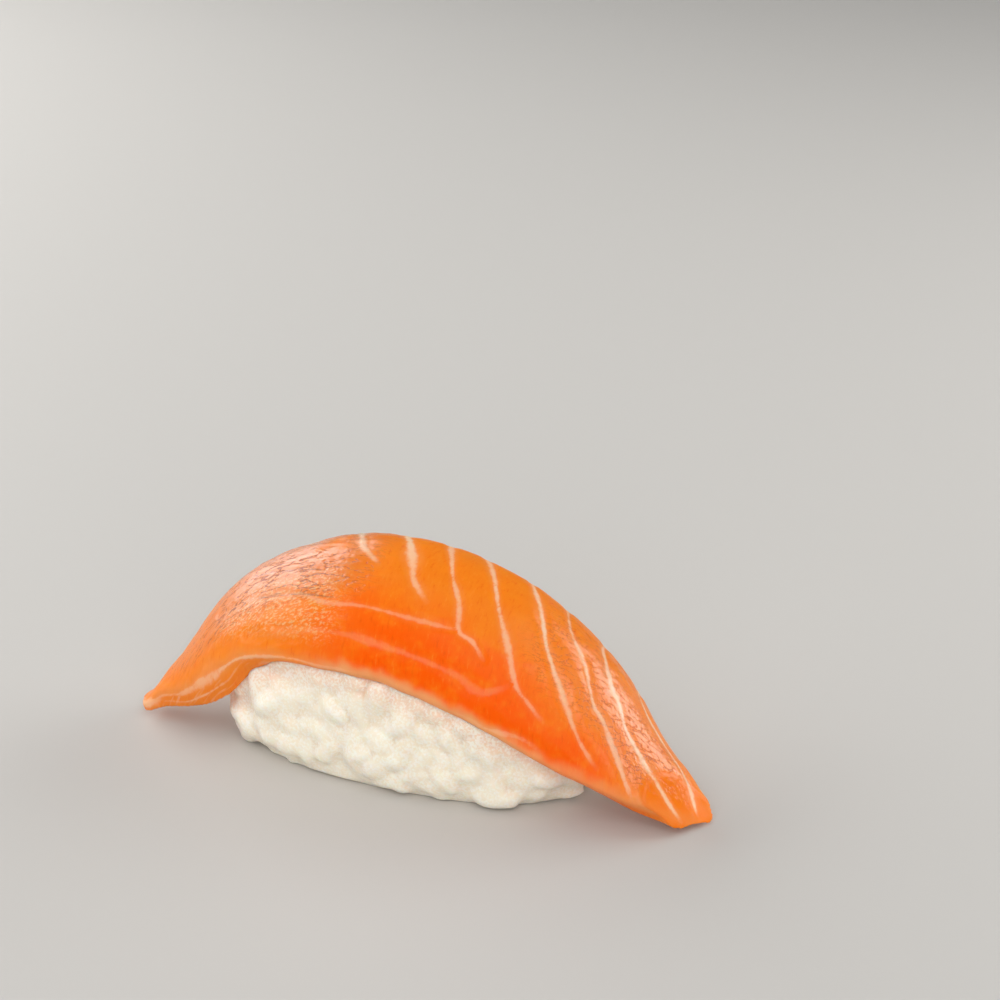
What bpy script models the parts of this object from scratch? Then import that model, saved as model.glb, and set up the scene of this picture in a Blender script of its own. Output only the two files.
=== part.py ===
"""A piece of salmon nigiri: a slice of raw salmon draped over a hand-pressed ball of rice.

Units are metres and +Z is up. The origin is the middle of the rice ball's flat underside. The piece
is long along X, its front is towards -Y, and both ends of the slice hang down nearly to the surface.
"""

import math
import random

import bmesh
import bpy
from mathutils import Matrix, Vector

MM = 0.001

# The strip that the slice is made from, before its two ends are cut off.
STRIP_LEFT = -40.5 * MM
STRIP_RIGHT = 45.0 * MM
STRIP_THICKNESS = 6.2 * MM    # at the crown, at the middle of its length
SQUARE_EDGE_SHARE = 0.95      # how thick its long edges are beside the crown where they stand square
ROLLED_EDGE_SHARE = 0.50      # and where they are rolled under, thin and soft
LEFT_TIP_SHARE = 0.26         # thickness at the left end, as a share of that at the middle
RIGHT_TIP_SHARE = 0.62
LEFT_TAPER = 24.0 * MM        # each end thins over this length
RIGHT_TAPER = 26.0 * MM
SQUARE_UP_TO = -30.0 * MM     # left of here the sides stand square
ROLLED_FROM = -12.0 * MM      # from here they are rolled under
ROLLED_UP_TO = 26.0 * MM      # and past here they begin to stand up again
MOST_ROLL = 0.85              # how far the sides turn with the strip's own curl, from 0 to 1
RIGHT_SQUARENESS = 0.70       # how nearly square they stand at the right end
SEAT_GAP = 0.35 * MM          # clearance between the slice and the rice

# How the strip hangs. Each row is a cross-section, in millimetres and degrees: its place along X, its
# crown (y, z), its front edge (y, z), its back edge (y, z), and how far its edges curl over.
STRIP_SECTIONS = (
    (-40.5, -3.4, 2.8, -5.0, 2.0, -1.8, 2.2, 20),
    (-35.0, -2.4, 6.6, -6.0, 4.6, 1.4, 5.4, 22),
    (-30.5, -1.4, 15.2, -7.8, 8.0, 4.8, 12.4, 28),
    (-25.0, -0.6, 21.8, -9.8, 13.0, 8.0, 17.0, 38),
    (-17.0, 0.0, 27.0, -11.8, 16.8, 11.0, 18.8, 55),
    (-7.0, 0.0, 30.2, -12.8, 17.4, 12.6, 18.0, 72),
    (5.0, 0.0, 29.5, -13.0, 15.6, 13.0, 16.4, 80),
    (17.0, -0.5, 25.4, -12.8, 11.6, 11.8, 13.0, 78),
    (27.0, -1.5, 18.0, -12.0, 7.4, 9.0, 8.4, 70),
    (34.0, -3.0, 9.6, -10.0, 4.8, 3.6, 4.8, 56),
    (38.5, -4.2, 5.6, -8.4, 4.2, -0.2, 4.4, 38),
    (45.0, -5.2, 4.6, -8.0, 3.8, -2.4, 4.0, 30),
)
THINNING_POWER = 2.5          # the strip keeps its thickness over the crown and thins near the edges
STEP_ALONG = 0.5 * MM         # small steps that find which way the upper face looks
STEP_ACROSS = 0.02
CELLS_ALONG = 24
CELLS_ACROSS = 10
SIDE_CREASE = 0.25            # the long edges are soft

# The slanting knife cuts that end the slice: a point of each, in metres, and the way it faces.
LEFT_CUT = ((-38.6 * MM, -3.4 * MM, 3.0 * MM), (-0.93, -0.20, -0.30))
RIGHT_CUT = ((38.4 * MM, -4.0 * MM, 4.4 * MM), (0.79, -0.46, 0.40))

# The rice ball under its grains: a rounded oblong, flat underneath, that reaches up into the seat.
BALL_HALF_LENGTH = 25.4 * MM
BALL_HALF_WIDTH = 11.7 * MM
BALL_WIDEST_AT = 6.5 * MM
BALL_TOP = 24.6 * MM
BALL_SWELL_BELOW = 10.5 * MM   # the half-height of the lower bulge, whose foot the underside cuts off
BALL_SQUARENESS = 2.4          # the exponent of its rounded outline, where 2 is an ellipse
BALL_SEGMENTS = 40
BALL_RINGS = 22

# The grains that show round the ball, each sunk part way into it.
GRAIN_LENGTH = 6.3 * MM
GRAIN_WIDTH = 3.3 * MM
GRAIN_DEPTH = 2.9 * MM
GRAIN_SIDES = 6
GRAIN_RINGS = 4
GRAIN_BLUNTNESS = 0.7          # below 1 makes its ends rounder than an ellipse's
GRAIN_DARTS = 6000             # places tried; each is kept if no other grain is too near
GRAIN_SPACING = 3.15 * MM
GRAIN_LOWEST = 1.0 * MM        # seats start this far up the flank
GRAIN_UNDER_SLICE = 1.0 * MM   # and end this far past the slice's edge
GRAIN_SUNK = 0.08              # the share of its depth that a grain's middle lies under the surface
GRAIN_TILT = 14.0              # degrees, the most that a grain leans out of the surface
GRAIN_FLOOR = 0.15 * MM        # grains stay this far above the underside
GRAIN_SIZE_SPREAD = 0.12
GRAIN_SEED = 11

SALMON_SHARP_FROM = 45         # degrees between faces, above which shading breaks
RICE_SHARP_FROM = 50
SALMON_COLOUR = (0.93, 0.24, 0.035, 1.0)
RICE_COLOUR = (0.86, 0.80, 0.70, 1.0)


def clear_scene():
    for obj in list(bpy.data.objects):
        bpy.data.objects.remove(obj, do_unlink=True)


def new_collection(name):
    collection = bpy.data.collections.new(name)
    bpy.context.scene.collection.children.link(collection)
    return collection


def plain_material(name, colour, roughness):
    material = bpy.data.materials.new(name)
    material.use_nodes = True
    shader = material.node_tree.nodes["Principled BSDF"]
    shader.inputs["Base Color"].default_value = colour
    shader.inputs["Roughness"].default_value = roughness
    shader.inputs["Metallic"].default_value = 0.0
    return material


def mesh_object(name, bm, collection):
    mesh = bpy.data.meshes.new(name)
    bm.to_mesh(mesh)
    bm.free()
    obj = bpy.data.objects.new(name, mesh)
    collection.objects.link(obj)
    return obj


def apply_modifiers(obj):
    """Makes the object's mesh what its modifiers give, and drops them."""
    bpy.context.view_layer.update()
    graph = bpy.context.evaluated_depsgraph_get()
    mesh = bpy.data.meshes.new_from_object(obj.evaluated_get(graph))
    obj.modifiers.clear()
    old = obj.data
    obj.data = mesh
    bpy.data.meshes.remove(old)


def section_at(x):
    """The cross-section at x, in metres and radians, on a smooth curve through STRIP_SECTIONS."""
    rows = STRIP_SECTIONS
    place = x / MM
    last = len(rows) - 2
    i = next((k for k in range(last) if place < rows[k + 1][0]), last)
    start, end = rows[i], rows[i + 1]
    before, after = rows[max(i - 1, 0)], rows[min(i + 2, last + 1)]
    span = end[0] - start[0]
    t = (place - start[0]) / span
    values = []
    for column in range(1, len(start)):
        slope_in = (end[column] - before[column]) / (end[0] - before[0]) * span
        slope_out = (after[column] - start[column]) / (after[0] - start[0]) * span
        values.append(
            (2 * t**3 - 3 * t**2 + 1) * start[column]
            + (t**3 - 2 * t**2 + t) * slope_in
            + (3 * t**2 - 2 * t**3) * end[column]
            + (t**3 - t**2) * slope_out
        )
    *lengths, curl = values
    return [value * MM for value in lengths], math.radians(curl)


def point_on_strip(x, across):
    """A point of the strip's upper face. across runs from -1 at the front edge to 1 at the back."""
    (crown_y, crown_z, front_y, front_z, back_y, back_z), curl = section_at(x)
    edge_y, edge_z = (front_y, front_z) if across < 0 else (back_y, back_z)
    angle = abs(across) * curl
    sideways = math.sin(angle) / math.sin(curl)
    height = (math.cos(angle) - math.cos(curl)) / (1 - math.cos(curl))
    return Vector((x, crown_y + (edge_y - crown_y) * sideways, edge_z + (crown_z - edge_z) * height))


def smooth_step(value, start, end):
    """0 up to the start, 1 from the end on, and a smooth rise between them."""
    t = min(1.0, max(0.0, (value - start) / (end - start)))
    return t * t * (3 - 2 * t)


def rolled_at(x):
    """How far the strip's sides are rolled under at x: 0 where they stand square, and up to 1."""
    standing_up = RIGHT_SQUARENESS * smooth_step(x, ROLLED_UP_TO, STRIP_RIGHT)
    return smooth_step(x, SQUARE_UP_TO, ROLLED_FROM) * (1 - standing_up)


def thickness_at(x, across):
    """The strip's thickness, which falls off towards both ends and both long edges."""
    left = min(1.0, (x - STRIP_LEFT) / LEFT_TAPER)
    right = min(1.0, (STRIP_RIGHT - x) / RIGHT_TAPER)
    along = min(
        LEFT_TIP_SHARE + (1 - LEFT_TIP_SHARE) * math.sin(left * math.pi / 2),
        RIGHT_TIP_SHARE + (1 - RIGHT_TIP_SHARE) * math.sin(right * math.pi / 2),
    )
    edge = SQUARE_EDGE_SHARE + (ROLLED_EDGE_SHARE - SQUARE_EDGE_SHARE) * rolled_at(x)
    return STRIP_THICKNESS * along * (1 - (1 - edge) * abs(across) ** THINNING_POWER)


def inward_at(x, across):
    """The way from the strip's upper face to its lower one."""
    crown_line = point_on_strip(x + STEP_ALONG, 0) - point_on_strip(x - STEP_ALONG, 0)
    square = crown_line.cross(Vector((0, 1, 0))).normalized()
    along = point_on_strip(x + STEP_ALONG, across) - point_on_strip(x - STEP_ALONG, across)
    over = point_on_strip(x, across + STEP_ACROSS) - point_on_strip(x, across - STEP_ACROSS)
    facing = along.cross(over).normalized()
    return -square.lerp(facing, MOST_ROLL * rolled_at(x)).normalized()


def cut_off(bm, point, facing):
    """Cuts away what lies beyond a plane, and closes the cut with a flat face."""
    everything = bm.verts[:] + bm.edges[:] + bm.faces[:]
    cut = bmesh.ops.bisect_plane(
        bm, geom=everything, plane_co=point, plane_no=facing, clear_outer=True
    )
    rim = [item for item in cut["geom_cut"] if isinstance(item, bmesh.types.BMEdge)]
    bmesh.ops.contextual_create(bm, geom=rim)
    bmesh.ops.recalc_face_normals(bm, faces=bm.faces[:])


def build_salmon(collection):
    """The slice: a sheet hung over the ball, thickened downwards, softened and cut at both ends."""
    bm = bmesh.new()
    bmesh.ops.create_grid(bm, x_segments=CELLS_ALONG, y_segments=CELLS_ACROSS, size=1.0)
    lower = bmesh.ops.extrude_face_region(bm, geom=bm.faces[:], use_keep_orig=True)["geom"]
    creases = bm.edges.layers.float.new("crease_edge")
    for edge in bm.edges:
        if all(abs(vert.co.y) > 0.999 for vert in edge.verts):  # the grid runs from -1 to 1
            edge[creases] = SIDE_CREASE
    lower_verts = {item for item in lower if isinstance(item, bmesh.types.BMVert)}
    for vert in bm.verts:
        x = STRIP_LEFT + (STRIP_RIGHT - STRIP_LEFT) * (vert.co.x + 1) / 2
        across = vert.co.y
        vert.co = point_on_strip(x, across)
        if vert in lower_verts:
            vert.co += inward_at(x, across) * thickness_at(x, across)
    bmesh.ops.recalc_face_normals(bm, faces=bm.faces[:])
    salmon = mesh_object("salmon", bm, collection)
    soften = salmon.modifiers.new("soften", "SUBSURF")
    soften.levels = soften.render_levels = 1
    apply_modifiers(salmon)
    bm = bmesh.new()
    bm.from_mesh(salmon.data)
    cut_off(bm, *LEFT_CUT)
    cut_off(bm, *RIGHT_CUT)
    bm.to_mesh(salmon.data)
    bm.free()
    salmon.data.materials.append(plain_material("raw_salmon", SALMON_COLOUR, 0.25))
    salmon.data.shade_smooth()
    salmon.data.set_sharp_from_angle(angle=math.radians(SALMON_SHARP_FROM))
    return salmon


def ball_point(direction):
    """Where a ray from the ball's middle leaves it: a superellipsoid that is taller above than below."""
    half_height = BALL_TOP - BALL_WIDEST_AT if direction.z > 0 else BALL_SWELL_BELOW
    reach = sum(
        (abs(value) / half) ** BALL_SQUARENESS
        for value, half in zip(direction, (BALL_HALF_LENGTH, BALL_HALF_WIDTH, half_height))
    )
    return Vector((0, 0, BALL_WIDEST_AT)) + direction / reach ** (1 / BALL_SQUARENESS)


def ball_outward(point):
    """The way that the ball's surface faces at one of its points."""
    half_height = BALL_TOP - BALL_WIDEST_AT if point.z > BALL_WIDEST_AT else BALL_SWELL_BELOW
    halves = (BALL_HALF_LENGTH, BALL_HALF_WIDTH, half_height)
    place = (point.x, point.y, point.z - BALL_WIDEST_AT)
    return Vector([
        math.copysign((abs(value) / half) ** (BALL_SQUARENESS - 1) / half, value)
        for value, half in zip(place, halves)
    ]).normalized()


def build_core(collection):
    """The bare ball of rice, with its underside cut flat at z = 0."""
    bm = bmesh.new()
    bmesh.ops.create_uvsphere(bm, u_segments=BALL_SEGMENTS, v_segments=BALL_RINGS, radius=1.0)
    for vert in bm.verts:
        vert.co = ball_point(vert.co.normalized())
    cut_off(bm, (0, 0, 0), (0, 0, -1))
    return mesh_object("rice", bm, collection)


def grain_mesh():
    """One cooked grain, plump and blunt, that is long along X."""
    bm = bmesh.new()
    bmesh.ops.create_uvsphere(bm, u_segments=GRAIN_SIDES, v_segments=GRAIN_RINGS, radius=1.0)
    for vert in bm.verts:
        girth = math.hypot(vert.co.x, vert.co.y)
        at_tip = girth < 0.01
        if not at_tip:
            vert.co.xy *= girth**GRAIN_BLUNTNESS / girth
    bm.transform(Matrix.Rotation(math.pi / 2, 4, "Y"))
    bm.transform(Matrix.Diagonal((GRAIN_LENGTH / 2, GRAIN_WIDTH / 2, GRAIN_DEPTH / 2, 1.0)))
    return bm


def is_bare(point):
    """Whether the slice leaves this point of the ball uncovered."""
    (_, _, _, front_z, _, back_z), _ = section_at(point.x)
    edge = front_z if point.y < 0 else back_z
    return GRAIN_LOWEST < point.z < edge + GRAIN_UNDER_SLICE


def grain_seats(draw):
    """Where grains lie: evenly spread places on the bare flank of the ball."""
    halves = Vector((BALL_HALF_LENGTH, BALL_HALF_WIDTH, BALL_TOP / 2))
    seats = []
    for _ in range(GRAIN_DARTS):
        dart = Vector((draw.gauss(0, 1), draw.gauss(0, 1), draw.gauss(0, 1))).normalized()
        point = ball_point((dart * halves).normalized())
        if is_bare(point) and all((point - seat).length > GRAIN_SPACING for seat in seats):
            seats.append(point)
    return seats


def build_grains(collection):
    """The grains, laid on the ball at random turns, leaning a little, and clear of the underside."""
    draw = random.Random(GRAIN_SEED)
    shape = grain_mesh()
    for number, point in enumerate(grain_seats(draw)):
        outward = ball_outward(point)
        size = 1 + draw.uniform(-GRAIN_SIZE_SPREAD, GRAIN_SIZE_SPREAD)
        turn = Matrix.Rotation(draw.uniform(0, math.pi), 4, "Z")
        lean = Matrix.Rotation(math.radians(draw.uniform(-GRAIN_TILT, GRAIN_TILT)), 4, "Y")
        pose = outward.to_track_quat("Z", "Y").to_matrix().to_4x4()
        place = Matrix.Translation(point - outward * GRAIN_DEPTH * GRAIN_SUNK)
        grain = shape.copy()
        grain.transform(place @ pose @ turn @ lean @ Matrix.Scale(size, 4))
        lowest = min(vert.co.z for vert in grain.verts)
        if lowest < GRAIN_FLOOR:
            grain.transform(Matrix.Translation((0, 0, GRAIN_FLOOR - lowest)))
        mesh_object(f"grain_{number}", grain, collection)
    shape.free()


def build_seat(salmon, collection):
    """The slice grown by SEAT_GAP, which is the room that the rice leaves for it."""
    graph = bpy.context.evaluated_depsgraph_get()
    mesh = bpy.data.meshes.new_from_object(salmon.evaluated_get(graph))
    seat = bpy.data.objects.new("seat", mesh)
    collection.objects.link(seat)
    grow = seat.modifiers.new("grow", "DISPLACE")
    grow.mid_level = 0.0
    grow.strength = SEAT_GAP
    seat.hide_render = True
    seat.display_type = "WIRE"
    return seat


def keep_largest_shell(obj):
    """Drops loose scraps and sealed hollows, which are the smaller shells of the mesh."""
    bm = bmesh.new()
    bm.from_mesh(obj.data)
    waiting = set(bm.faces)
    shells = []
    while waiting:
        shell = []
        rim = [waiting.pop()]
        while rim:
            face = rim.pop()
            shell.append(face)
            for edge in face.edges:
                if len(edge.link_faces) == 2:
                    fresh = waiting.intersection(edge.link_faces)
                    waiting -= fresh
                    rim.extend(fresh)
        shells.append(shell)
    shells.sort(key=len)
    for shell in shells[:-1]:
        bmesh.ops.delete(bm, geom=shell, context="FACES")
    bm.to_mesh(obj.data)
    bm.free()


def build_rice(collection, cutters, salmon):
    """The ball with its grains fused on, and the slice's seat cut into its top.

    The Booleans use MANIFOLD, because EXACT is slow on this many grains.
    """
    rice = build_core(collection)
    grains = new_collection("grains")
    build_grains(grains)
    fuse = rice.modifiers.new("fuse", "BOOLEAN")
    fuse.operation = "UNION"
    fuse.operand_type = "COLLECTION"
    fuse.collection = grains
    fuse.solver = "MANIFOLD"
    apply_modifiers(rice)
    for grain in list(grains.objects):
        bpy.data.objects.remove(grain, do_unlink=True)
    bpy.data.collections.remove(grains)
    cut = rice.modifiers.new("cut_seat", "BOOLEAN")
    cut.operation = "DIFFERENCE"
    cut.object = build_seat(salmon, cutters)
    cut.solver = "MANIFOLD"
    apply_modifiers(rice)
    keep_largest_shell(rice)
    rice.data.materials.append(plain_material("sushi_rice", RICE_COLOUR, 0.45))
    rice.data.shade_smooth()
    rice.data.set_sharp_from_angle(angle=math.radians(RICE_SHARP_FROM))
    return rice


def main():
    clear_scene()
    nigiri = new_collection("salmon_nigiri")
    cutters = new_collection("cutters")
    salmon = build_salmon(nigiri)
    build_rice(nigiri, cutters, salmon)


main()
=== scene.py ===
"""A piece of salmon nigiri: a slice of raw salmon laid over a hand-pressed ball of sushi rice."""

import math
import random

import bpy
import numpy as np
from mathutils import Matrix, Vector, noise
from mathutils.bvhtree import BVHTree
from mathutils.kdtree import KDTree


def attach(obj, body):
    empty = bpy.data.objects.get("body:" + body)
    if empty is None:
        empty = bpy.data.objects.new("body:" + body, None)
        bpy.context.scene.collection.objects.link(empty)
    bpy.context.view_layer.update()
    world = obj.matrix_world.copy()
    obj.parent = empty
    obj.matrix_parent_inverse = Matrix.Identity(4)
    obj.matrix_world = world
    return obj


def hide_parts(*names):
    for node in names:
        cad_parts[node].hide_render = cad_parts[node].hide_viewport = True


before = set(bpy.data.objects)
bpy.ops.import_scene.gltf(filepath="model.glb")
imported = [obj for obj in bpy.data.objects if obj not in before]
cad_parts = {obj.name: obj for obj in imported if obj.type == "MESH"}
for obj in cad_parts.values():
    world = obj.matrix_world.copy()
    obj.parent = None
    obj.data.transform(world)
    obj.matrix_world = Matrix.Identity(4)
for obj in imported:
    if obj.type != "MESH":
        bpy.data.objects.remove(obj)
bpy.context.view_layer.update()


# The slice is raw salmon, cut at a slant off the thick side of the fillet with one pull of a long knife.
# It is soft, wet muscle in blocks with seams of white fat between them, and nothing fixes it: it clings
# to the rice by its own wetness and hangs down at both ends under its own weight.
MM = 0.001
SLICE_CELL = 0.28 * MM         # the net is fine enough for the seams and the finest wrinkles that show
SAME_PLACE = 0.001 * MM        # corners of the solid that lie nearer than this are one
SHARP_RIM_FROM = 20            # degrees between faces, from which an edge was left by the knife
KNIFE_CREASE = 0.9
SOFTENING_ROUNDS = 3
KEPT_AT_CUT = 0.85             # the share of the softening that is taken back round the cut ends
LEFT_CUT = (Vector((-38.6, -3.4, 3.0)), Vector((-0.93, -0.20, -0.30)).normalized())
RIGHT_CUT = (Vector((38.4, -4.0, 4.4)), Vector((0.79, -0.46, 0.40)).normalized())

# The line along the top of the slice, and its two long edges, in mm.
CROWN = (
    (-40.5, -3.4, 2.8), (-35, -2.4, 6.6), (-30.5, -1.4, 15.2), (-25, -0.6, 21.8), (-17, 0, 27),
    (-7, 0, 30.2), (5, 0, 29.5), (17, -0.5, 25.4), (27, -1.5, 18), (34, -3, 9.6), (38.5, -4.2, 5.6),
    (45, -5.2, 4.6),
)
FRONT_EDGE = (
    (-40.5, -5, 2), (-35, -6, 4.6), (-30.5, -7.8, 8), (-25, -9.8, 13), (-17, -11.8, 16.8),
    (-7, -12.8, 17.4), (5, -13, 15.6), (17, -12.8, 11.6), (27, -12, 7.4), (34, -10, 4.8),
    (38.5, -8.4, 4.2), (45, -8, 3.8),
)
BACK_EDGE = (
    (-40.5, -1.8, 2.2), (-35, 1.4, 5.4), (-30.5, 4.8, 12.4), (-25, 8, 17), (-17, 11, 18.8), (-7, 12.6, 18),
    (5, 13, 16.4), (17, 11.8, 13), (27, 9, 8.4), (34, 3.6, 4.8), (38.5, -0.2, 4.4), (45, -2.4, 4),
)

# Each seam of fat: its half-width in mm, how white it is at its start, middle and end, and the points that
# it runs through, in mm. The first eight cross the slice from its back, over the crown and down its front.
# The rest run along the front, behind on the left, and along the border and tip of the cut left side.
SEAMS = (
    (0.48, (0.3, 1.3, 0.5), (
        (-14, 11, 22), (-12, 7, 27), (-8.5, 1.5, 29.6), (-6.4, -2.2, 29.7), (-3.2, -4.6, 29)
    )),
    (0.48, (0.3, 1.2, 0.5), (
        (-8, 12, 19), (-6, 8, 26), (-1.8, 1.6, 30), (0.8, -3.2, 29.3), (2.1, -5.6, 28.1), (4.5, -7.4, 26.4)
    )),
    (0.3, (0.3, 0.8, 0.5), (
        (-2, 12.5, 18), (1, 7.5, 26), (4.2, 1.4, 29.3), (6.4, -3.2, 28.4), (8.6, -6.2, 26.4),
        (9.6, -8.7, 23.9), (11.6, -9, 22.8), (13.4, -9.8, 21)
    )),
    (0.32, (0.4, 0.9, 0.4), (
        (3, 12, 17), (5.5, 8, 24.5), (9.4, 2.3, 27.9), (13.3, -4.5, 25.8), (16.1, -7.9, 22.2),
        (17.8, -9.9, 18.6), (19.6, -10.4, 16.7), (22, -10.8, 14.4)
    )),
    (0.31, (0.4, 1.2, 0.4), (
        (8, 11.5, 16), (11, 8.5, 21.5), (15.1, 2.8, 25.5), (19.5, -4.4, 22.8), (21.3, -6.5, 20.4),
        (22.7, -7.6, 18.5), (24.5, -8.9, 15.7), (26.6, -10, 12.2), (29, -10.4, 9.2)
    )),
    (0.28, (0.4, 0.9, 0.6), (
        (14, 10.5, 15), (18.6, 5.6, 22.1), (21.2, 0, 22.4), (24.3, -3.3, 19.8), (26.8, -6.3, 16.2),
        (28.4, -6.9, 14.3), (29.5, -7.5, 12.6), (31.9, -9, 8.4), (33.4, -9.7, 5.4)
    )),
    (0.3, (0.4, 1.1, 0.9), (
        (21, 9.5, 12), (24.5, 3.5, 19), (27.4, -2, 17.3), (29.1, -3.3, 15.3), (30.7, -5, 12.9),
        (32.6, -5.9, 10.5), (34.5, -6.7, 8.1), (36.4, -6.8, 5.2), (38.3, -6.3, 1.9)
    )),
    (0.27, (0.5, 1.0, 0.9), (
        (27, 7.5, 10), (29.5, 3.5, 13.5), (31.8, 0.6, 11.4), (34.9, -1, 8.3), (38.5, -3.2, 5.2),
        (39.6, -3.9, 2.2)
    )),
    (0.26, (0.0, 0.34, 0.34), (
        (-26, -5.5, 17.5), (-18.7, -7.1, 22.6), (-12.8, -8.1, 24.5), (-8.8, -9.1, 24.5), (-3, -9.3, 25.1),
        (4, -9.2, 24.5), (9.6, -8.7, 23.9)
    )),
    (0.42, (0.0, 0.17, 0.14), (
        (-20, -9.5, 18), (-8, -11.1, 21.5), (0.8, -11.5, 21.1), (9.5, -11.4, 19.3), (13.2, -11.6, 17.5),
        (15, -11.2, 17.5), (17.4, -10.1, 18.6)
    )),
    (0.25, (0.1, 0.4, 0.1), (
        (11, -12.6, 14.6), (14.7, -12.4, 13.3), (19.1, -12.1, 12.7), (22.1, -11.9, 11.3)
    )),
    (0.4, (0.1, 0.5, 0.5), (
        (-23, 9.5, 19), (-19, 5.5, 25), (-15, 1, 27.6)
    )),
    (0.22, (0.4, 0.65, 0.2), (
        (-36, -5.6, 3.6), (-32, -6.9, 6.3), (-26.2, -9, 11.5), (-21.5, -10.3, 14.9), (-16.7, -11.3, 16.9),
        (-12.1, -11.8, 18), (-7.5, -12.2, 17.9), (-3, -12.4, 17.7)
    )),
    (0.16, (0.3, 0.55, 0.1), (
        (-34.5, -5.9, 3.6), (-31, -7.4, 5.6), (-27.5, -8.9, 8.6), (-23.5, -10.0, 12.2), (-19.8, -10.9, 15.1)
    )),
    (0.8, (0.7, 0.7, 0.2), (
        (-38.4, -4.6, 3.2), (-37.0, -5.3, 3.2), (-35, -6.0, 4.0)
    )),
)
SEAM_STEP = 0.15 * MM

# Where the flesh is folded a little by the bend over the rice, in mm.
CREASES = (
    ((-22, -3.2, 23.4), (-15.5, -4.9, 26), (-10.5, -5.7, 27.4)),
    ((-19.5, -7, 22.2), (-12.8, -8.1, 24.5), (-7.9, -8.7, 25.3)),
)
CREASE_DEPTH = 0.16
CREASE_HALF_WIDTH = 0.45
DRY_SPOT = (-10.8, -1.0, 29.0)  # a patch by the first seam where the film of water has run off

# The relief of the slice and the way that it hangs, in mm.
SWELL = 0.12                   # how far the muscle swells between two seams
RIDGE = 0.06                   # how far the whitest fat stands up
BROAD_ROLLING = 0.16
SMALL_ROLLING = 0.05
WRINKLE_HEIGHT = 0.05
DRAWN_IN = 0.08                # the skin starts this far inside, so its relief doesn't make the slice larger
SAG = 0.45                     # how far the front edge sags along the rice
MORE_SAG_ON_LEFT = 0.40
SAG_OFF_RICE = 0.75            # and where it leaves the rice on the left
SAG_WAVES = 0.30
HANG = 1.25                    # how far the cut left side hangs down past the rice
LEFT_END_OUT = 0.7             # how far each end reaches out
RIGHT_END_OUT = 0.5
LEFT_TIP_LOWER = 0.32          # the share of its height that each tip loses
RIGHT_TIP_LOWER = 0.42


def pick_only(piece):
    """Selects the piece alone, which operators then act on."""
    bpy.ops.object.select_all(action="DESELECT")
    piece.select_set(True)
    bpy.context.view_layer.objects.active = piece


def finish_with(piece, kind, **settings):
    """Gives the piece a modifier with these settings, and applies it."""
    pick_only(piece)
    modifier = piece.modifiers.new(kind.lower(), kind)
    for name, value in settings.items():
        setattr(modifier, name, value)
    bpy.ops.object.modifier_apply(modifier=modifier.name)


def smooth_rise(value, start, end):
    """0 up to the start, 1 from the end on, and a smooth rise between them."""
    share = np.clip((value - start) / (end - start), 0, 1)
    return share * share * (3 - 2 * share)


def curve_through(points, step):
    """Points a step apart, in metres, on a smooth curve through points given in mm."""
    knots = [Vector(point) * MM for point in points]
    knots = [2 * knots[0] - knots[1], *knots, 2 * knots[-1] - knots[-2]]
    run = []
    for before, start, end, after in zip(knots, knots[1:], knots[2:], knots[3:]):
        count = max(2, round((end - start).length / step))
        for i in range(count):
            t = i / count
            run.append(0.5 * (
                2 * start
                + (end - before) * t
                + (2 * before - 5 * start + 4 * end - after) * t**2
                + (3 * start - before - 3 * end + after) * t**3
            ))
    return [*run, knots[-2]]


def corners_of(piece):
    """Where the piece's vertices are, in mm, as rows of x, y and z."""
    corners = np.empty(len(piece.data.vertices) * 3)
    piece.data.vertices.foreach_get("co", corners)
    return corners.reshape(-1, 3) / MM


def facing_of(piece):
    """The way that the piece faces at each of its vertices."""
    facing = np.empty(len(piece.data.vertices) * 3)
    piece.data.vertex_normals.foreach_get("vector", facing)
    return facing.reshape(-1, 3)


def push_out(piece, depth):
    """Moves each vertex outwards by its own depth, in metres."""
    moved = corners_of(piece) * MM + facing_of(piece) * depth[:, None]
    piece.data.vertices.foreach_set("co", moved.ravel())
    piece.data.update()


def note_on(piece, name, values):
    """Writes a value on each vertex, which the material reads by this name."""
    kind, field = ("FLOAT", "value") if values.ndim == 1 else ("FLOAT_VECTOR", "vector")
    layer = piece.data.attributes.new(name, kind, "POINT")
    layer.data.foreach_set(field, values.astype(np.float32).ravel())


def waves(corners, size, seed, stretch=(1, 1, 1), octaves=2):
    """Smooth, even noise from about -1 to 1 at each row of corners; size is that of one wave, in mm."""
    scale = np.array(stretch, float) * size
    shift = np.array([17.3, 41.9, 7.7]) * seed
    return np.array([
        noise.fractal(Vector(row), 1.0, 2.0, octaves) for row in corners / scale + shift
    ])


def near_curves(corners, curves):
    """How far each corner is from the nearest curve, in mm, and which point of all the curves that is."""
    tree = KDTree(sum(len(curve) for curve in curves))
    number = 0
    for curve in curves:
        for point in curve:
            tree.insert(point, number)
            number += 1
    tree.balance()
    found = [tree.find(row * MM) for row in corners]
    return np.array([row[2] for row in found]) / MM, np.array([row[1] for row in found])


slice_piece = bpy.data.objects.new("salmon_slice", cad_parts["salmon"].data.copy())
slice_piece.data.materials.clear()
bpy.context.collection.objects.link(slice_piece)
pick_only(slice_piece)
bpy.ops.object.mode_set(mode="EDIT")
bpy.ops.mesh.select_mode(type="EDGE")
bpy.ops.mesh.select_all(action="SELECT")
bpy.ops.mesh.remove_doubles(threshold=SAME_PLACE)
bpy.ops.mesh.tris_convert_to_quads()
bpy.ops.mesh.select_all(action="DESELECT")
bpy.ops.mesh.edges_select_sharp(sharpness=math.radians(SHARP_RIM_FROM))
bpy.ops.transform.edge_crease(value=KNIFE_CREASE)
bpy.ops.object.mode_set(mode="OBJECT")
finish_with(slice_piece, "SUBSURF", levels=2, render_levels=2)
finish_with(slice_piece, "REMESH", mode="VOXEL", voxel_size=SLICE_CELL, use_smooth_shade=True)
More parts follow.
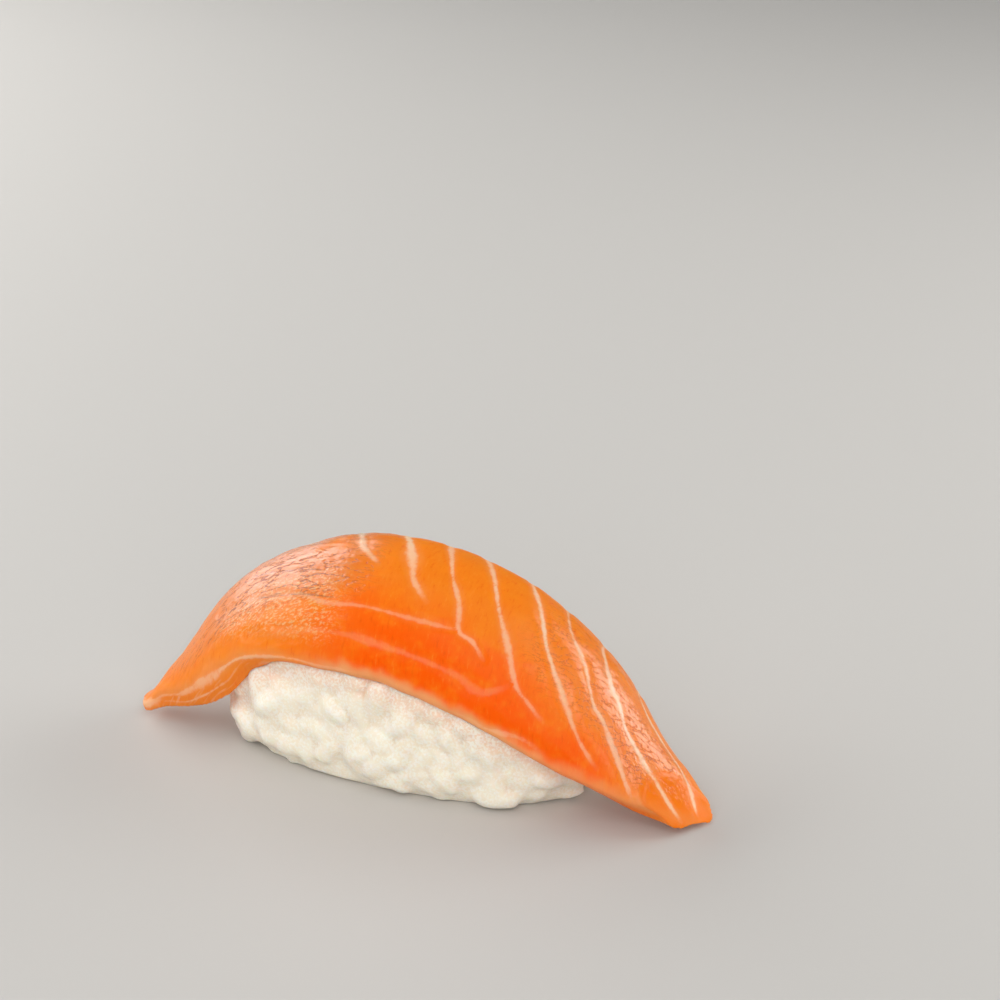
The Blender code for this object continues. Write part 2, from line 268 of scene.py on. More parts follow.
before = corners_of(slice_piece)
finish_with(slice_piece, "SMOOTH", factor=0.5, iterations=SOFTENING_ROUNDS)


def from_cut(places, cut):
    """How far each place lies from the plane of one of the knife's cuts, in mm."""
    return np.abs((places - cut[0]) @ np.array(cut[1]))


# The softening is mostly taken back round the two cut ends, whose corners stay as the knife left them.
kept = 1 - smooth_rise(np.minimum(from_cut(before, LEFT_CUT), from_cut(before, RIGHT_CUT)), 0.6, 1.6)
softened = corners_of(slice_piece)
softened += (before - softened) * (KEPT_AT_CUT * kept)[:, None]
slice_piece.data.vertices.foreach_set("co", (softened * MM).ravel())
slice_piece.data.update()

skin = BVHTree.FromObject(slice_piece, bpy.context.evaluated_depsgraph_get())


def on_skin(curve):
    """The curve laid down on the slice."""
    return [skin.find_nearest(point)[0] for point in curve]


corners = corners_of(slice_piece)
x, y, z = corners.T
facing = facing_of(slice_piece)
crown = np.array(CROWN)
arc = np.concatenate([[0], np.cumsum(np.hypot(np.diff(crown[:, 0]), np.diff(crown[:, 2])))])
along = np.interp(x, crown[:, 0], arc)
crown_y = np.interp(x, crown[:, 0], crown[:, 1])
crown_z = np.interp(x, crown[:, 0], crown[:, 2])
across = np.hypot(y - crown_y, z - crown_z)
across *= np.where(y < crown_y, -1, 1)

seam_curves = [on_skin(curve_through(points, SEAM_STEP)) for _, _, points in SEAMS]
widths = []
whites = []
for (half_width, white, _), curve in zip(SEAMS, seam_curves):
    way = np.linspace(0, 1, len(curve))
    widths.append(half_width * (1 + 0.25 * np.sin(way * 19 + half_width * 40)))
    whites.append(np.interp(way, (0, 0.5, 1), white) * (1 - 0.9 * smooth_rise(way, 0.94, 1.0)))
from_seam, nearest = near_curves(corners, seam_curves)
width_there = np.concatenate(widths)[nearest]
white_there = np.concatenate(whites)[nearest]

from_crease, _ = near_curves(corners, [on_skin(curve_through(points, SEAM_STEP)) for points in CREASES])
rims = [on_skin(curve_through(points, SEAM_STEP)) for points in (FRONT_EDGE, BACK_EDGE)]
from_rim, _ = near_curves(corners, rims)

front = np.array(FRONT_EDGE)
back = np.array(BACK_EDGE)
edge_z = np.where(
    y < crown_y,
    np.interp(x, front[:, 0], front[:, 2]),
    np.interp(x, back[:, 0], back[:, 2]),
)
on_side = smooth_rise(edge_z - z, 0.1, 0.9) * smooth_rise(-x, -4, 6)
on_left_cut = 1 - smooth_rise(from_cut(corners, LEFT_CUT), 0.2, 0.5)
on_right_cut = 1 - smooth_rise(from_cut(corners, RIGHT_CUT), 0.2, 0.5)
on_cut = np.maximum(on_left_cut, on_right_cut)
on_top = (1 - on_cut) * smooth_rise(facing[:, 2], -0.2, 0.1)

# The blocks of muscle swell a little between the seams, and the skin is finely wrinkled where it bends.
swell = SWELL * smooth_rise(from_seam / width_there, 0.8, 4.0)
ridge = RIDGE * white_there * (1 - smooth_rise(from_seam / width_there, 0.2, 1.2))
rolling = BROAD_ROLLING * waves(corners, 9, 1) + SMALL_ROLLING * waves(corners, 2.6, 2, (1.6, 1, 1))
flat_place = np.stack([along, across, np.zeros_like(along)], axis=1)
wrinkles = waves(flat_place, 0.9, 3, (3.4, 1, 1), 3)
bent_left = smooth_rise(-x, -1, 10) * smooth_rise(across, -18, -13)
bent_right = smooth_rise(x, 12, 22)
wrinkled = WRINKLE_HEIGHT * wrinkles * (0.3 + bent_left + 0.8 * bent_right)
creased = -CREASE_DEPTH * (1 - smooth_rise(from_crease, 0, CREASE_HALF_WIDTH))
push_out(slice_piece, (on_top * (swell + ridge + rolling + wrinkled + creased) - DRAWN_IN) * MM)

# Its long front edge sags softly onto the rice, in waves, and lower where it leaves the rice on the left.
# Both cut ends reach out a little, and their tips come down to the surface that the nigiri stands on.
from_front_rim, _ = near_curves(corners, rims[:1])
sag = SAG + MORE_SAG_ON_LEFT * smooth_rise(-x, 0, 8)
sag *= smooth_rise(x, -22, -16) * smooth_rise(-x, -30, -20)
sag = sag + SAG_OFF_RICE * smooth_rise(-x, 17, 24) * smooth_rise(x, -36, -29)
sag = sag + SAG_WAVES * waves(corners * np.array([1, 0, 0]), 5.5, 4)
settled = corners_of(slice_piece)
settled[:, 2] -= sag * (1 - smooth_rise(from_front_rim, 0.3, 3.6)) * (1 - on_cut)
hanging = smooth_rise(x, -35, -25) * smooth_rise(-x, 19.5, 23.5)
settled[:, 2] -= HANG * hanging * on_side * smooth_rise(crown_y - y, 1, 5)
settled[:, 0] -= LEFT_END_OUT * smooth_rise(-x, 31, 38)
settled[:, 0] += RIGHT_END_OUT * smooth_rise(x, 31, 39)
settled[:, 2] *= 1 - LEFT_TIP_LOWER * smooth_rise(-x, 34.5, 38.3)
settled[:, 2] *= 1 - RIGHT_TIP_LOWER * smooth_rise(x, 36, 40.5) * smooth_rise(y, -6, -2)
slice_piece.data.vertices.foreach_set("co", (settled * MM).ravel())
slice_piece.data.update()

# What the material reads on the slice: the seams, the thin pale rim, how deep the orange is, and how wet
# it is. Each rise runs between two places in mm, and the film of water lies mostly where the slice bends.
from_dry_spot = np.linalg.norm(corners - np.array(DRY_SPOT), axis=1) + 1.6 * waves(corners, 2.5, 7)
glossy_left = bent_left * (1 - 0.75 * smooth_rise(-across, 7, 11))
glossy_left *= 1 - 0.45 * smooth_rise(-x, 22, 30)
glossy_right = bent_right * smooth_rise(across, -10, -5) * (1 - 0.6 * smooth_rise(across, -1, 3))
glossy_right *= 0.45 + 0.55 * smooth_rise(x, 20, 30)
glossy = np.clip(glossy_left + glossy_right, 0, 1)
glossy *= 0.3 + 0.7 * smooth_rise(from_dry_spot, 0.8, 3.4) * (1 - 0.8 * on_cut) * (1 - 0.8 * on_side)
glossy *= 0.25 + 0.75 * smooth_rise(from_rim, 0.8, 3.2)
deepness = smooth_rise(-across + 2.5 * waves(corners, 7, 5), 3, 16) * smooth_rise(x, -20, 2)
thinness = (1 - smooth_rise(from_rim + 0.5 * waves(corners, 2.2, 6), 0.1, 2.2)) * (1 - 0.90 * on_side)
thinness *= 1 - 0.4 * smooth_rise(x, 14, 26) - 0.6 * smooth_rise(-x, 4, 12)
low_left = bent_left * smooth_rise(-across, 4, 8) * (1 - on_side)
note_on(slice_piece, "seam", from_seam / width_there)
note_on(slice_piece, "fat", 0.80 * white_there)
note_on(slice_piece, "fat_glow", 0.40 * white_there)
note_on(slice_piece, "thin", thinness)
note_on(slice_piece, "side", on_side)
note_on(slice_piece, "cut", on_cut)
note_on(slice_piece, "deep", deepness)
note_on(slice_piece, "wet", 0.07 - 0.05 * deepness + 0.93 * glossy)
facing_front = 0.25 + 0.75 * smooth_rise(-across, -3, 4)
# Wet flesh is darker, and more so on the front of the left end, which is painted shade.
note_on(slice_piece, "shaded", 0.12 + 0.26 * facing_front * smooth_rise(-x, 0, 10))
# Painted shade: where the film shines, its fold and crinkle lines are drawn darker.
note_on(slice_piece, "lined", 0.80 * glossy * facing_front * (x < 3))
crinkle_zone = smooth_rise(x, 14, 21) * smooth_rise(across, -12, -7)
crinkle_zone *= 1 - smooth_rise(x, 26, 33)
note_on(slice_piece, "crinkled", np.maximum(0.65 * glossy, 0.48 * crinkle_zone) * (x > 3))
# Painted shade: the two creases are drawn as dark lines, as well as being grooves.
note_on(slice_piece, "creased", 0.65 * (1 - smooth_rise(from_crease, 0.02, 0.20 + 0.08 * wrinkles)))
# Painted glints: pale golden grains low on the left, where the film catches the light, over the film's real
# grains.
glint_zone = smooth_rise(from_rim, 1.5, 4) * smooth_rise(x, -28, -22) * smooth_rise(-x, 4, 10)
note_on(slice_piece, "golden_glints", 0.80 * low_left * glint_zone)
note_on(slice_piece, "slab", flat_place * MM)


def linear(hex_colour):
    """A colour given as sRGB hex, as the linear one that a shader takes."""
    shares = [int(hex_colour[i:i + 2], 16) / 255 for i in (1, 3, 5)]
    shares = [s / 12.92 if s <= 0.04045 else ((s + 0.055) / 1.055) ** 2.4 for s in shares]
    return (*shares, 1.0)


def add(material, kind, settings=None, inputs=None):
    """Adds a node with its settings. Each input is given a value, or the node or output that feeds it."""
    node = material.node_tree.nodes.new("ShaderNode" + kind)
    for name, value in (settings or {}).items():
        setattr(node, name, value)
    for name, value in (inputs or {}).items():
        socket = next(s for i, s in enumerate(node.inputs) if s.enabled and name in (s.name, i))
        if isinstance(value, bpy.types.Node):
            value = next(s for s in value.outputs if s.enabled)
        if isinstance(value, bpy.types.NodeSocket):
            material.node_tree.links.new(value, socket)
        else:
            socket.default_value = value
    return node


def new_material(name):
    """An empty material with no node yet."""
    material = bpy.data.materials.new(name)
    material.use_nodes = True
    material.node_tree.nodes.clear()
    return material


# Wet raw salmon: translucent orange muscle that light enters for a millimetre or two, so it glows and its
# edges are paler, under a film of water whose fine wrinkles break each reflection into grains. The
# patterns are drawn out along, across or at a slant to the slice, as its fibres and its wrinkles run.
CRINKLE_SLANT = 28             # degrees, from the length of the slice towards its back
raw_salmon = new_material("wet_raw_salmon")
place = add(raw_salmon, "TexCoord").outputs["Object"]
slab = add(raw_salmon, "Attribute", {"attribute_name": "slab"}).outputs["Vector"]
drawn_along = add(raw_salmon, "Mapping", None, {"Vector": slab, "Scale": (0.24, 1, 1)})
drawn_short = add(raw_salmon, "Mapping", None, {"Vector": slab, "Scale": (0.55, 1, 1)})
drawn_across = add(raw_salmon, "Mapping", None, {"Vector": slab, "Scale": (1, 0.3, 1)})
drawn_slant = add(raw_salmon, "Mapping", {"vector_type": "TEXTURE"}, {
    "Vector": slab, "Rotation": (0, 0, math.radians(CRINKLE_SLANT)), "Scale": (3.2, 1, 1),
})
drawn_far = add(raw_salmon, "Mapping", None, {"Vector": slab, "Scale": (0.11, 1, 1)})
on_slice = {
    name: add(raw_salmon, "Attribute", {"attribute_name": name}).outputs["Fac"]
    for name in (
        "seam", "fat", "fat_glow", "thin", "side", "cut", "deep",
        "wet", "lined", "crinkled", "golden_glints", "creased", "shaded",
    )
}

# Each pattern in the flesh: what it runs on, the size of its patches in mm, its detail and its roughness.
# The fibres are drawn coarser than real ones, which wouldn't show.
pattern = {
    name: add(raw_salmon, "TexNoise", None, {
        "Vector": way, "Scale": 1 / (size * MM), "Detail": detail, "Roughness": rough,
    })
    for name, way, size, detail, rough in (
        ("blotch", place, 2.2, 3, 0.6),
        ("ragged", place, 0.8, 3, 0.6),
        ("patchy", place, 3.0, 2, 0.5),
        ("fibre", drawn_across, 0.55, 4, 0.7),
        ("streak", drawn_far, 0.9, 3, 0.6),
        ("fold", drawn_along, 1.15, 3, 0.55),
        ("crinkle", drawn_slant, 0.80, 3, 0.55),
        ("grit", drawn_short, 0.32, 2, 0.6),
    )
}

# The wrinkles are thin lines through the middle of a pattern. They are too fine for a bump alone to show,
# so they are also drawn in colour, darker, as painted shade where they break the sheen, and coarser than
# they are.
lines = {}
for name, width, share in (("fold", 0.030, "lined"), ("crinkle", 0.036, "crinkled")):
    off_line = add(raw_salmon, "Math", {"operation": "SUBTRACT"}, {0: pattern[name], 1: 0.5})
    off_line = add(raw_salmon, "Math", {"operation": "ABSOLUTE"}, {0: off_line})
    lines[name] = add(raw_salmon, "MapRange", {"interpolation_type": "SMOOTHSTEP"}, {
        "Value": off_line, "From Min": width, "From Max": 0.0, "To Max": on_slice[share],
    })
frayed = on_slice["seam"]
for name, share in (("ragged", 1.5), ("patchy", 1.8)):
    frayed = add(raw_salmon, "Math", {"operation": "MULTIPLY_ADD"}, {0: pattern[name], 1: share, 2: frayed})
streaked_side = add(raw_salmon, "Math", {"operation": "MULTIPLY"}, {
    0: pattern["streak"], 1: on_slice["side"],
})

# What lies over the flesh, in turn: what it goes by, where that starts and where it is full, how much there
# is of it at most, and its colour. Flesh under the film is darker, as a wet thing is, and darker still on
# the front of the left end, which is painted shade. Fat comes last.
flesh = linear("#f48019")
for source, start, full, most, colour in (
    (on_slice["deep"], 0.0, 1.0, 1.0, "#fd5c00"),
    (pattern["blotch"], 0.42, 0.75, 0.40, "#fa8e1c"),
    (pattern["fibre"], 0.54, 0.76, 0.42, "#fb9a38"),
    (pattern["fibre"], 0.47, 0.27, 0.50, "#e85404"),
    (on_slice["thin"], 0.0, 1.0, 0.80, "#ecaa70"),
    (on_slice["side"], 0.0, 1.0, 0.15, "#f09250"),
    (streaked_side, 0.50, 0.72, 0.45, "#f4c09a"),
    (on_slice["cut"], 0.0, 1.0, 0.60, "#f27408"),
    # darker under the film as wet flesh is, with painted shade on the front of the left end
    (on_slice["wet"], 0.2, 1.0, on_slice["shaded"], "#cc7434"),
    # painted glints: pale golden grains low on the left
    (pattern["grit"], 0.46, 0.66, on_slice["golden_glints"], "#f4b878"),
    # painted shade in the wrinkles, where they break the sheen
    (lines["fold"], 0.0, 1.0, 1.0, "#8f3f1a"),
    (lines["crinkle"], 0.0, 1.0, 1.0, "#b04c18"),
    # painted shade in the creases
    (on_slice["creased"], 0.0, 1.0, 1.0, "#7d3818"),
    (frayed, 5.0, 1.9, on_slice["fat_glow"], "#f59e60"),
    (frayed, 3.1, 1.9, on_slice["fat"], "#f8ceaa"),
):
    share = add(raw_salmon, "MapRange", {"interpolation_type": "SMOOTHSTEP"}, {
        "Value": source, "From Min": start, "From Max": full, "To Max": most,
    })
    flesh = add(raw_salmon, "Mix", {"data_type": "RGBA"}, {
        "Factor": share, "A": flesh, "B": linear(colour),
    })

# The film of water and oil is grainiest low on the left. It is given more shine than water alone has,
# because soft lights show little of it.
grainy = add(raw_salmon, "Math", {"operation": "MULTIPLY_ADD"}, {0: on_slice["golden_glints"], 1: 1.2, 2: 0.58})
film_height = add(raw_salmon, "Math", {"operation": "MULTIPLY"}, {0: pattern["grit"], 1: grainy})
film_height = add(raw_salmon, "Math", {"operation": "MULTIPLY"}, {0: film_height, 1: on_slice["wet"]})
for line in lines.values():
    film_height = add(raw_salmon, "Math", {"operation": "SUBTRACT"}, {0: film_height, 1: line})
film = add(raw_salmon, "Bump", None, {"Strength": 1.0, "Distance": 0.16 * MM, "Height": film_height})
muscle = add(raw_salmon, "Bump", None, {"Strength": 0.4, "Distance": 0.10 * MM, "Height": pattern["fibre"]})
salmon_shader = add(raw_salmon, "BsdfPrincipled", None, {
    "Base Color": flesh,
    "Roughness": 0.45,
    "IOR": 1.38,
    "Specular IOR Level": 0.06,
    "Subsurface Weight": 0.30,
    "Subsurface Radius": (1.0, 0.35, 0.10),
    "Subsurface Scale": 1.0 * MM,
    "Coat Weight": on_slice["wet"],
    "Coat Roughness": 0.15,
    "Coat IOR": 1.75,
    "Normal": muscle,
    "Coat Normal": film,
})
add(raw_salmon, "OutputMaterial", None, {"Surface": salmon_shader})
slice_piece.data.materials.append(raw_salmon)
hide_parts("salmon")
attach(slice_piece, "root")


# The ball is about twenty grams of short-grain rice, cooked soft, seasoned and pressed in the hand. Its
# grains stick to each other and their skins have burst a little, so they show as soft lumps, plainest
# where the hand didn't smooth them.
BALL_HALVES = (25.4, 11.7)     # half its length and width, in mm, as all the sizes of the rice are
BALL_WIDEST_AT = 6.5
BALL_TOP = 24.6
BALL_SWELL_BELOW = 10.5        # the half-height of the lower bulge, whose foot is pressed flat
BALL_SQUARENESS = 2.4
CORE_STANDS_OUT = 0.15         # how far the core stands out of the ball's mean surface, between the grains
RICE_CELL = 0.26 * MM
GRAIN_SIZE = (6.0, 3.6, 3.0)   # a cooked short grain's length, width and depth, in mm
GRAIN_DARTS = 9000             # places tried; each is kept if no other grain is too near
GRAIN_SPACING = 2.35
GRAIN_SUNK = (0.10, 0.90)      # how far a grain's middle lies under the surface, least and most
GRAIN_TILT = 12                # degrees, at most
GRAIN_GROWN = (-0.14, 0.12)    # how much smaller or larger than its size a grain is
GRAIN_BLUNTNESS = 0.72         # 1 leaves the ends as round as those of an egg, and less makes them blunter
GRAIN_BEND = 0.06
GRAIN_SEED = 5
FOOT_GRAINS = 30               # they stick out round the foot, where the hand didn't press them in
FOOT_GRAINS_DOWN = 4.6         # about how far they lie below the place where the ball is widest
FOOT_GRAINS_OUT = (-0.5, 0.6)
LOWEST_SEAT = 0.8              # a grain tried lower than this is left out
UNDER_SLICE = 2.0              # how far up behind the edge of the slice there are still grains
CLEAR_OF_GROUND = 0.1
LOOSE_GRAIN = Vector((22.9, -3.4, 1.4))
LOOSE_GRAIN_TURN = 28          # degrees
LOOSE_GRAIN_SIZE = 0.7
BURST = 6                      # how soft the grains are: rounds of smoothing over the joined grains
PRESSED = 0.38                 # the share of the grains' relief that the hand left
OWN_SHAPE_ROUNDS = 30          # rounds of smoothing that leave the ball's own shape without its grains
LEFT_END_FULLER = 0.6
LUMP_HEIGHT = 0.65
PORE_HEIGHT = 0.04
MEAN_SURFACE_ROUNDS = 24
HOLLOW_DEPTH = 0.12            # a place that lies this much below or above the mean surface counts in full
CUT_SLIVER = 0.02 * MM         # narrower faces, left where the slice is cut out of the rice, are merged


def ball_reach(direction, further):
    """The point where a ray from the ball's middle leaves it, and goes a little further, in mm."""
    half_height = BALL_TOP - BALL_WIDEST_AT if direction.z > 0 else BALL_SWELL_BELOW
    halves = (*BALL_HALVES, half_height)
    reach = sum((abs(v) / (half + further)) ** BALL_SQUARENESS for v, half in zip(direction, halves))
    return Vector((0, 0, BALL_WIDEST_AT)) + direction / reach ** (1 / BALL_SQUARENESS)


def ball_facing(point):
    """The way that the ball faces at one of its points."""
    half_height = BALL_TOP - BALL_WIDEST_AT if point.z > BALL_WIDEST_AT else BALL_SWELL_BELOW
    halves = (*BALL_HALVES, half_height)
    place = (point.x, point.y, point.z - BALL_WIDEST_AT)
    return Vector([
        math.copysign((abs(v) / half) ** (BALL_SQUARENESS - 1) / half, v) for v, half in zip(place, halves)
    ]).normalized()


bpy.ops.object.select_all(action="DESELECT")
bpy.ops.mesh.primitive_uv_sphere_add(segments=72, ring_count=44, radius=1.0)
rice_ball = bpy.context.object
rice_ball.name = "rice_ball"
for vert in rice_ball.data.vertices:
    vert.co = ball_reach(vert.co.normalized(), CORE_STANDS_OUT) * MM
bpy.ops.object.mode_set(mode="EDIT")
bpy.ops.mesh.select_all(action="SELECT")
bpy.ops.mesh.bisect(plane_co=(0, 0, 0), plane_no=(0, 0, -1), use_fill=True, clear_outer=True)
bpy.ops.object.mode_set(mode="OBJECT")

bpy.ops.object.select_all(action="DESELECT")
bpy.ops.mesh.primitive_uv_sphere_add(segments=8, ring_count=7, radius=0.5)
grain = bpy.context.object
for vert in grain.data.vertices:
    girth = math.hypot(vert.co.x, vert.co.y)
    if girth > 0.001:
        vert.co.xy *= (girth * 2) ** GRAIN_BLUNTNESS / (2 * girth)
grain.data.transform(Matrix.Rotation(math.pi / 2, 4, "Y"))
grain.data.transform(Matrix.Diagonal((*GRAIN_SIZE, 1.0)))
for vert in grain.data.vertices:
    vert.co.y += GRAIN_BEND * vert.co.x**2 / GRAIN_SIZE[0] * 2

draw = random.Random(GRAIN_SEED)
dart_spread = Vector((*BALL_HALVES, BALL_TOP / 2))
seats = []
for number in range(FOOT_GRAINS):
    turn = 2 * math.pi * (number + draw.uniform(-0.3, 0.3)) / FOOT_GRAINS
    low = Vector((math.cos(turn) * BALL_HALVES[0], math.sin(turn) * BALL_HALVES[1], -FOOT_GRAINS_DOWN))
    seats.append(ball_reach(low.normalized(), draw.uniform(*FOOT_GRAINS_OUT)))
for _ in range(GRAIN_DARTS):
    dart = Vector((draw.gauss(0, 1), draw.gauss(0, 1), draw.gauss(0, 1))).normalized()
    point = ball_reach((dart * dart_spread).normalized(), 0)
    edge = FRONT_EDGE if point.y < 0 else BACK_EDGE
    covered_from = np.interp(point.x, [row[0] for row in edge], [row[2] for row in edge]) + UNDER_SLICE
    if not LOWEST_SEAT < point.z < covered_from:
        continue
    if all((point - seat).length > GRAIN_SPACING for seat in seats):
        seats.append(point)

grains = []
for point in [*seats, LOOSE_GRAIN]:
    outward = ball_facing(point)
    pose = outward.to_track_quat("Z", "Y").to_matrix().to_4x4()
    pose = pose @ Matrix.Rotation(draw.uniform(0, math.pi), 4, "Z")
    pose = pose @ Matrix.Rotation(math.radians(draw.uniform(-GRAIN_TILT, GRAIN_TILT)), 4, "Y")
    pose = pose @ Matrix.Scale(1 + draw.uniform(*GRAIN_GROWN), 4)
    spot = Matrix.Translation(point - outward * draw.uniform(*GRAIN_SUNK))
    if point == LOOSE_GRAIN:
        pose = Matrix.Rotation(math.radians(LOOSE_GRAIN_TURN), 4, "Z") @ Matrix.Scale(LOOSE_GRAIN_SIZE, 4)
        spot = Matrix.Translation(LOOSE_GRAIN)
    copy = bpy.data.objects.new("grain", grain.data.copy())
    copy.data.transform(spot @ pose)
    lowest = min(vert.co.z for vert in copy.data.vertices)
    if lowest < CLEAR_OF_GROUND:
        copy.data.transform(Matrix.Translation((0, 0, CLEAR_OF_GROUND - lowest)))
    copy.data.transform(Matrix.Scale(MM, 4))
    bpy.context.collection.objects.link(copy)
    grains.append(copy)
bpy.data.objects.remove(grain)

# The grains are united with the core into one shell, because walls left inside it would make the remeshing
# come out a little different each time.
heap = bpy.data.collections.new("grains")
for copy in grains:
    heap.objects.link(copy)
finish_with(
    rice_ball, "BOOLEAN", operation="UNION", operand_type="COLLECTION", collection=heap, solver="MANIFOLD"
)
for copy in grains:
    bpy.data.objects.remove(copy)
bpy.data.collections.remove(heap)
finish_with(rice_ball, "REMESH", mode="VOXEL", voxel_size=RICE_CELL, use_smooth_shade=True)
finish_with(rice_ball, "SMOOTH", factor=0.5, iterations=BURST)

# The hand pressed the grains nearly flush: the ball lies between its grains and its own smoothed shape.
grained = corners_of(rice_ball)
finish_with(rice_ball, "SMOOTH", factor=0.6, iterations=OWN_SHAPE_ROUNDS)
smoothed = corners_of(rice_ball)
pressed = smoothed + (grained - smoothed) * PRESSED
pressed[:, 0] -= LEFT_END_FULLER * smooth_rise(-pressed[:, 0], 12, 25)
rice_ball.data.vertices.foreach_set("co", (pressed * MM).ravel())
rice_ball.data.update()
lumps = LUMP_HEIGHT * waves(pressed, 6.0, 11) + PORE_HEIGHT * waves(pressed, 1.8, 12, octaves=3)
push_out(rice_ball, lumps * smooth_rise(pressed[:, 2], 0.0, 0.9) * MM)
finish_with(rice_ball, "BOOLEAN", operation="DIFFERENCE", object=slice_piece, solver="MANIFOLD")
bpy.ops.object.mode_set(mode="EDIT")
bpy.ops.mesh.select_all(action="SELECT")
bpy.ops.mesh.remove_doubles(threshold=CUT_SLIVER)
bpy.ops.object.mode_set(mode="OBJECT")

# How far each place lies in a hollow between grains: the smoothed ball shows where its mean surface is.
rice_corners = corners_of(rice_ball)
rice_facing = facing_of(rice_ball)
mean_ball = rice_ball.copy()
mean_ball.data = rice_ball.data.copy()
bpy.context.collection.objects.link(mean_ball)
finish_with(mean_ball, "SMOOTH", factor=0.6, iterations=MEAN_SURFACE_ROUNDS)
sunk_by = ((corners_of(mean_ball) - rice_corners) * rice_facing).sum(axis=1)
bpy.data.objects.remove(mean_ball)
under_slice = BVHTree.FromObject(slice_piece, bpy.context.evaluated_depsgraph_get())
from_slice = np.array([under_slice.find_nearest(Vector(row) * MM)[3] for row in rice_corners]) / MM
# painted shade in the hollows between grains
note_on(rice_ball, "hollow", smooth_rise(sunk_by, 0.0, HOLLOW_DEPTH))
# painted light on the places that stand proud
note_on(rice_ball, "proud", smooth_rise(-sunk_by, 0.0, HOLLOW_DEPTH))
# painted light: the pink that the fish throws on the rice beside it
note_on(rice_ball, "by_slice", 1 - smooth_rise(from_slice, 0.3, 4.6))

# Cooked rice: starch gel, white with a breath of yellow, which light goes deep into, so the hollows are
# never dark.
# Its skin is moist but not wet, and gives small soft glints, also painted as white specks. The hollows
# between grains are painted a little darker as shade, the grains that stand proud paler as light, and the
# rice next to the fish pink, as painted light that the fish throws on it. The specks and pores are drawn
# coarser than the real ones, which wouldn't show.
cooked_rice = new_material("cooked_sushi_rice")
place = add(cooked_rice, "TexCoord").outputs["Object"]
hollow, proud, by_slice = (
    add(cooked_rice, "Attribute", {"attribute_name": name}).outputs["Fac"]
    for name in ("hollow", "proud", "by_slice")
)
cloud, gel, pores, glint_speck = (
    add(cooked_rice, "TexNoise", None, {
        "Vector": place, "Scale": 1 / (size * MM), "Detail": 3.0, "Roughness": rough,
    })
    for size, rough in ((4.5, 0.5), (1.5, 0.5), (0.5, 0.6), (0.34, 0.6))
)
# Painted glints: white specks in clusters, over the real small glints of the coat.
glint_clusters = add(cooked_rice, "Math", {"operation": "MULTIPLY_ADD"}, {0: cloud, 1: 0.3, 2: glint_speck})
starch = linear("#faecd8")
for source, start, full, most, colour in (
    (cloud, 0.35, 0.70, 1.0, "#f8e6cd"),
    (gel, 0.50, 0.72, 0.3, "#f0dec4"),
    # painted shade: the hollows between grains darker and beige
    (hollow, 0.0, 1.0, 0.50, "#e8d5b6"),
    # painted light: the grains that stand proud are paler
    (proud, 0.0, 1.0, 0.50, "#fbf2e4"),
    # painted light: pink thrown by the fish
    (by_slice, 0.0, 1.0, 0.55, "#f0c4a6"),
    # painted glints: white specks
    (glint_clusters, 0.58, 0.75, 0.60, "#fffaf2"),
):
    share = add(cooked_rice, "MapRange", {"interpolation_type": "SMOOTHSTEP"}, {
        "Value": source, "From Min": start, "From Max": full, "To Max": most,
    })
    starch = add(cooked_rice, "Mix", {"data_type": "RGBA"}, {
        "Factor": share, "A": starch, "B": linear(colour),
    })
rice_height = add(cooked_rice, "Math", {"operation": "MULTIPLY_ADD"}, {0: pores, 1: 0.5, 2: gel})
rice_skin = add(cooked_rice, "Bump", None, {"Strength": 0.5, "Distance": 0.20 * MM, "Height": rice_height})
rice_film = add(cooked_rice, "Bump", None, {"Strength": 0.8, "Distance": 0.15 * MM, "Height": glint_speck})
rice_shader = add(cooked_rice, "BsdfPrincipled", None, {
    "Base Color": starch,
    "Roughness": 0.48,
    "IOR": 1.40,
    "Subsurface Weight": 0.75,
    "Subsurface Radius": (1.0, 0.80, 0.55),
    "Subsurface Scale": 1.2 * MM,
    "Coat Weight": 0.35,
    "Coat Roughness": 0.15,
    "Coat IOR": 1.45,
    "Normal": rice_skin,
    "Coat Normal": rice_film,
})
add(cooked_rice, "OutputMaterial", None, {"Surface": rice_shader})
rice_ball.data.materials.clear()
rice_ball.data.materials.append(cooked_rice)
rice_ball.data.shade_smooth()
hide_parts("rice")
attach(rice_ball, "root")


# The studio: a plain pale matt floor, five soft boxes of which the two at the left and the one at the
# right give the film of water its shine, a faint soft sky, and a camera at the photograph's angle.
FLOOR_WIDTH = 4.0              # metres, so that its edges are far out of sight
LIT_POINT = Vector((0, 0, 15)) * MM
SKY_STRENGTH = 0.15
CAMERA_TURN = 23.3             # degrees, from looking straight at the front towards the right end
CAMERA_HEIGHT_ANGLE = 23.1
CAMERA_PLACE = (0.13765, -0.29294, 0.17446)

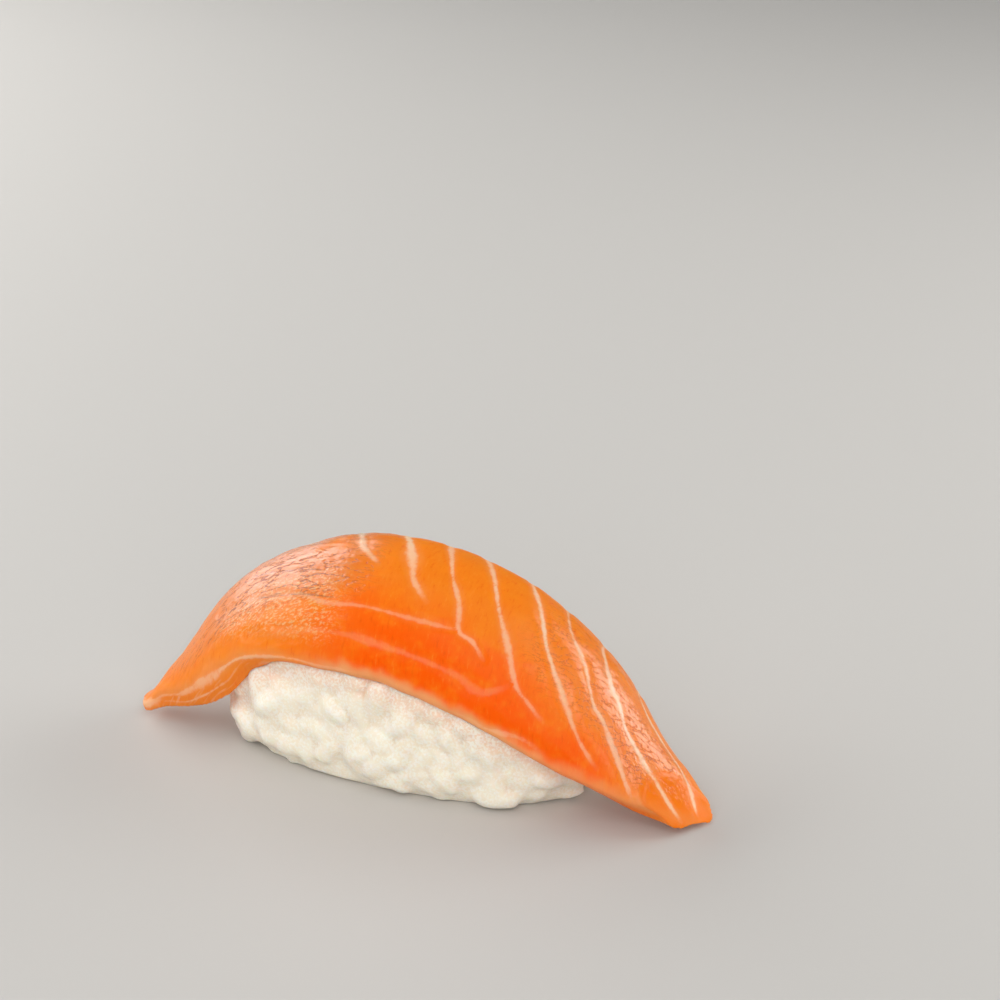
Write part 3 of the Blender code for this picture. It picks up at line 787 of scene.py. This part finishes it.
bpy.ops.object.select_all(action="DESELECT")
bpy.ops.mesh.primitive_plane_add(size=FLOOR_WIDTH)
floor = bpy.context.object
floor.name = "floor"

# Flat pale paint, which takes the soft shadow of the nigiri and hardly mirrors anything.
floor_paint = new_material("pale_matt_floor")
floor_shader = add(floor_paint, "BsdfPrincipled", None, {
    "Base Color": linear("#c8c5c0"),
    "Roughness": 0.7,
    "Specular IOR Level": 0.1,
})
add(floor_paint, "OutputMaterial", None, {"Surface": floor_shader})
floor.data.materials.append(floor_paint)


def soft_box(name, direction, distance, size, power):
    """A soft white light of this width and height, this far off, in metres, that shines on the nigiri."""
    light = bpy.data.lights.new(name, "AREA")
    light.shape = "RECTANGLE"
    light.size, light.size_y = size
    light.energy = power
    box = bpy.data.objects.new(name, light)
    bpy.context.collection.objects.link(box)
    way = Vector(direction).normalized()
    box.location = LIT_POINT + way * distance
    box.rotation_euler = way.to_track_quat("Z", "Y").to_euler()


soft_box("back_left_box", (-0.84, 0.22, 0.40), 0.50, (0.62, 0.34), 2.0)
soft_box("left_box", (-0.78, -0.50, 0.38), 0.60, (0.34, 0.26), 0.5)
soft_box("front_box", (0.34, -0.80, 0.48), 1.00, (1.00, 0.90), 6.8)
soft_box("right_box", (0.74, 0.62, 0.36), 0.45, (0.36, 0.36), 1.2)
soft_box("top_box", (0.20, -0.30, 0.93), 0.90, (0.90, 0.90), 2.1)

sky = bpy.data.worlds.new("studio_sky")
bpy.context.scene.world = sky
sky.use_nodes = True
sky.node_tree.nodes["Background"].inputs["Color"].default_value = linear("#eef2f7")
sky.node_tree.nodes["Background"].inputs["Strength"].default_value = SKY_STRENGTH

lens = bpy.data.cameras.new("photo_camera")
lens.lens = 100
lens.sensor_width = 36
camera = bpy.data.objects.new("photo_camera", lens)
bpy.context.collection.objects.link(camera)
camera.location = CAMERA_PLACE
camera.rotation_euler = (math.radians(90 - CAMERA_HEIGHT_ANGLE), 0, math.radians(CAMERA_TURN))
bpy.context.scene.camera = camera
bpy.context.scene.view_settings.view_transform = "Standard"
